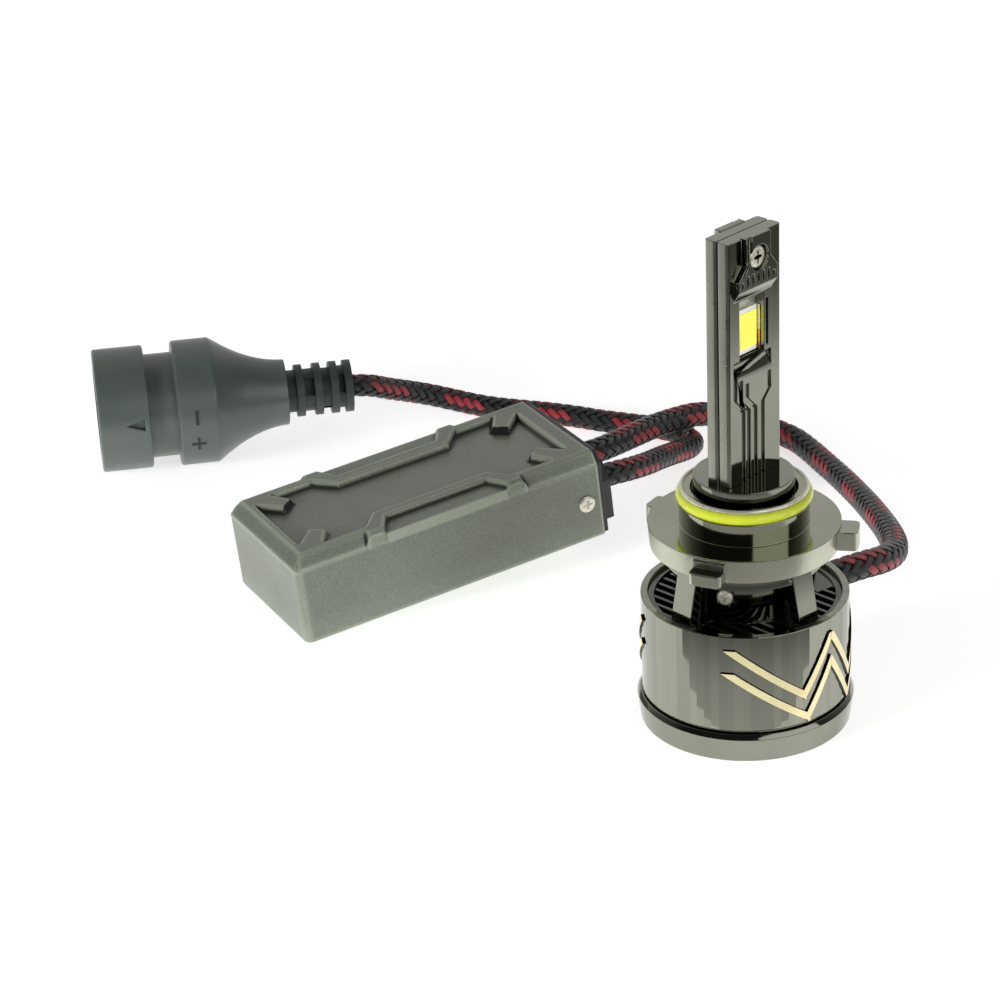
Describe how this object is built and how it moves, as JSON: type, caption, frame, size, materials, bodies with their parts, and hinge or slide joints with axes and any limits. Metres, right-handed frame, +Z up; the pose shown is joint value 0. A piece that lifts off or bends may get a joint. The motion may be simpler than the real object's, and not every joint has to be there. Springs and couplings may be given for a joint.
{
  "type": "headlight bulb",
  "caption": "LED headlight bulb with a flat two-sided column, a turning flange collar and a fan base, wired to a metal driver box and a round supply plug.",
  "frame": {"origin": "on the lamp's axis, at the underside of the base ring it stands on", "axes": "+Z up the lamp's axis to the column's top; the column's two lit faces point along -Y and +Y, and the driver box lies on the +Y side"},
  "size_m": [0.1238, 0.1915, 0.0882],
  "materials": {
    "gunmetal": "black chrome mirror",
    "aluminium": "satin",
    "bronze_metal": "satin metallic",
    "nickel": "bright nickel",
    "copper": "bare copper",
    "bronze": "sintered bronze",
    "gold": "pale gold",
    "ceramic": "white ceramic",
    "phosphor": "yellow phosphor",
    "seal": "glossy silicone",
    "black_rubber": "matt",
    "black_plastic": "matt",
    "plug_plastic": "moulded matt",
    "board": "solder mask",
    "braid": "black braid with a red tracer"
  },
  "bodies": {
    "lamp": {"column_front": "gunmetal", "column_rear": "gunmetal", "column_screw": "nickel", "copper_core": "copper", "led_board_front": "ceramic", "led_board_rear": "ceramic", "led_chip_front": "phosphor", "led_chip_rear": "phosphor", "column_base": "gunmetal", "heat_stem": "gunmetal", "stem_screw": "nickel", "stem_wires": "black_plastic", "top_grille": "gunmetal", "heat_sink": "aluminium", "fan_housing": "gunmetal", "gold_inlay": "gold", "housing_grommet": "black_rubber", "base_ring": "gunmetal", "bottom_guard": "black_plastic", "fan_frame": "black_plastic", "fan_stator": "copper", "fan_board": "board", "fan_bearing": "bronze", "lamp_cable": "braid", "driver_case": "bronze_metal", "driver_end_cap": "black_plastic", "driver_screws": "nickel", "driver_board": "board", "driver_inductor": "copper", "driver_capacitors": "aluminium", "driver_chips": "black_plastic", "lamp_grommet": "black_rubber", "plug_grommet": "black_rubber", "plug_cable": "braid", "plug_body": "plug_plastic", "plug_insert": "plug_plastic", "plug_pins": "nickel", "plug_strain_relief": "black_rubber"},
    "collar": {"mounting_collar": "gunmetal", "seal_ring": "seal", "collar_grub_screw": "nickel"},
    "rotor": {"fan_rotor": "black_plastic", "fan_magnet": "nickel", "fan_shaft": "nickel"}
  },
  "joints": [
    {"name": "collar_turn", "type": "hinge", "parent": "lamp", "child": "collar", "pos_m": [0, 0, 0.0366], "axis": [0, 0, 1], "range_deg": [-180, 180]},
    {"name": "fan_spin", "type": "hinge", "parent": "lamp", "child": "rotor", "pos_m": [0, 0, 0.008], "axis": [0, 0, 1], "continuous": true}
  ]
}
